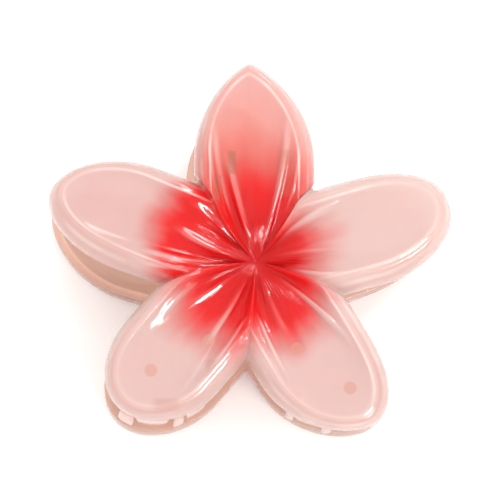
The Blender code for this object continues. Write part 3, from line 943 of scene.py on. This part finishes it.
def spring_mesh():
    """The torsion spring about the origin: close turns along x, a leg along each jaw."""
    half, leg_angle = COIL_PITCH * COIL_TURNS / 2, math.radians(LEG_ANGLE)
    start, end = leg_angle + math.pi / 2, math.tau * COIL_TURNS + 3 * math.pi / 2 - leg_angle
    steps = COIL_TURNS * 48
    points = []
    for step in range(steps + 1):
        share = step / steps
        angle = start + (end - start) * share
        across = half * (2 * share - 1)
        points.append(Vector((across, COIL_RADIUS * math.cos(angle), COIL_RADIUS * math.sin(angle))))
    for side, coil_end in ((1, points[0]), (-1, points[-1])):
        away = Vector((0, math.cos(leg_angle), side * math.sin(leg_angle)))
        leg = [coil_end + away * LEG_LENGTH * i / 12 for i in range(1, 13)]
        points = leg[::-1] + points if side > 0 else points + leg
    curve = bpy.data.curves.new("spring", "CURVE")
    curve.dimensions = "3D"
    curve.bevel_depth = WIRE_RADIUS * MM
    curve.bevel_resolution = 4
    curve.use_fill_caps = True
    spline = curve.splines.new("POLY")
    spline.points.add(len(points) - 1)
    for point, place in zip(spline.points, points):
        point.co = (*(place * MM), 1)
    drawn = bpy.data.objects.new("spring", curve)
    bpy.context.scene.collection.objects.link(drawn)
    mesh = evaluated_mesh(drawn)
    mesh.shade_smooth()
    mesh.set_sharp_from_angle(angle=math.radians(60))
    return mesh


make_jaw("back_jaw", BACK_PETALS, -1, TO_BACK, "back", BACK_TEETH, BACK_LUG_X)
make_jaw("front_jaw", FRONT_PETALS, 1, TO_FRONT, "front", FRONT_TEETH, FRONT_LUG_X)

pin = add_piece(
    "hinge_pin_turned", pin_mesh(), Matrix.Translation(HINGE), "back",
    steel("drawn_pin_steel", (0.62, 0.61, 0.60, 1), (1, 12, 12)),
)
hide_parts("hinge_pin")

spring = bpy.data.objects.new("torsion_spring_wound", spring_mesh())
bpy.context.scene.collection.objects.link(spring)
spring.matrix_world = Matrix.Translation(HINGE) @ Matrix.Rotation(JAW_ANGLE / 2, 4, "X")
spring.data.materials.append(steel("spring_wire_steel", (0.50, 0.49, 0.48, 1), (6, 1, 1)))
bpy.context.view_layer.update()
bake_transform(spring)
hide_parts("torsion_spring")


# ---- table, light and camera ---------------------------------------------------------------------------

# Camera: its height angle, its angle to the side, its distance in m and its aim off the flower's middle in mm
CAMERA_ELEVATION = math.radians(69)
CAMERA_ASIDE = math.radians(3)
CAMERA_DISTANCE = 0.55
CAMERA_LENS = 198
AIM_LEFT = 1.2
AIM_UP = 2.4

# Lights: place in m, width and height in m, power in W, and whether they light surfaces or only glint in them
LIGHTS = (
    ("window", (0.38, 0.42, 0.70), 0.2, 0.3, 2.0, True),
    ("front_window", (0.36, -0.56, 0.60), 0.2, 0.3, 2.0, True),
    ("window_glint", (0.40, 0.40, 0.70), 0.10, 0.16, 1.6, False),
    ("front_glint", (0.41, -0.49, 0.61), 0.16, 0.26, 5.6, False),
    ("ceiling", (-0.3, 0.3, 1.3), 1.8, 1.8, 2.4, True),
    ("side", (-0.6, -0.3, 1.1), 1.0, 1.0, 1.0, True),
)
LIT_PLACE = Vector((0, 0, 0.02))


def make_table():
    """A pale paper sheet under the clip."""
    bm = bmesh.new()
    bmesh.ops.create_grid(bm, x_segments=8, y_segments=8, size=3.0)
    mesh = bpy.data.meshes.new("table")
    bm.to_mesh(mesh)
    bm.free()
    table = bpy.data.objects.new("table", mesh)
    bpy.context.scene.collection.objects.link(table)
    nodes = Nodes("table_paper")
    fibre = nodes.noise(300.0, 4.0, 0.6)
    nodes.put(nodes.shader.inputs["Base Color"], nodes.mix(fibre, srgb(253, 252, 252), srgb(250, 249, 249)))
    nodes.shader.inputs["Roughness"].default_value = 0.8
    nodes.shader.inputs["Emission Color"].default_value = srgb(255, 255, 255)
    nodes.shader.inputs["Emission Strength"].default_value = 0.14
    nodes.put(nodes.shader.inputs["Normal"], nodes.bump(fibre, 0.05, 0.0002))
    mesh.materials.append(nodes.material)


def add_light(name, location, width, height, power, lights_surfaces):
    light = bpy.data.lights.new(name, "AREA")
    light.energy = power
    light.shape = "RECTANGLE"
    light.size = width
    light.size_y = height
    lamp = bpy.data.objects.new(name, light)
    bpy.context.scene.collection.objects.link(lamp)
    lamp.location = location
    lamp.rotation_euler = (LIT_PLACE - Vector(location)).to_track_quat("-Z", "Y").to_euler()
    lamp.visible_diffuse = lights_surfaces


def make_camera():
    """A long lens that looks down on the front jaw, aimed close to the middle of its flower."""
    centre = TO_FRONT @ (Vector((0, 0, -FUNNEL_DEPTH)) * MM)
    forward, upward = math.cos(CAMERA_ELEVATION), math.sin(CAMERA_ELEVATION)
    away = Vector((-math.sin(CAMERA_ASIDE), -forward, upward)).normalized()
    data = bpy.data.cameras.new("camera")
    data.sensor_width = 36
    data.lens = CAMERA_LENS
    data.clip_end = 20
    camera = bpy.data.objects.new("camera", data)
    bpy.context.scene.collection.objects.link(camera)
    right = Vector((0, 1, 0)).cross(away).normalized()
    up = away.cross(right)
    target = centre - right * AIM_LEFT * MM + up * AIM_UP * MM
    camera.location = target + away * CAMERA_DISTANCE
    camera.rotation_euler = Matrix((right, up, away)).transposed().to_euler()
    bpy.context.scene.camera = camera


make_table()
make_camera()
for light in LIGHTS:
    add_light(*light)

world = bpy.data.worlds.new("room")
world.use_nodes = True
background = world.node_tree.nodes["Background"]
background.inputs["Color"].default_value = (1.0, 0.985, 0.97, 1)
background.inputs["Strength"].default_value = 1.06
bpy.context.scene.world = world
bpy.context.scene.view_settings.view_transform = "Standard"
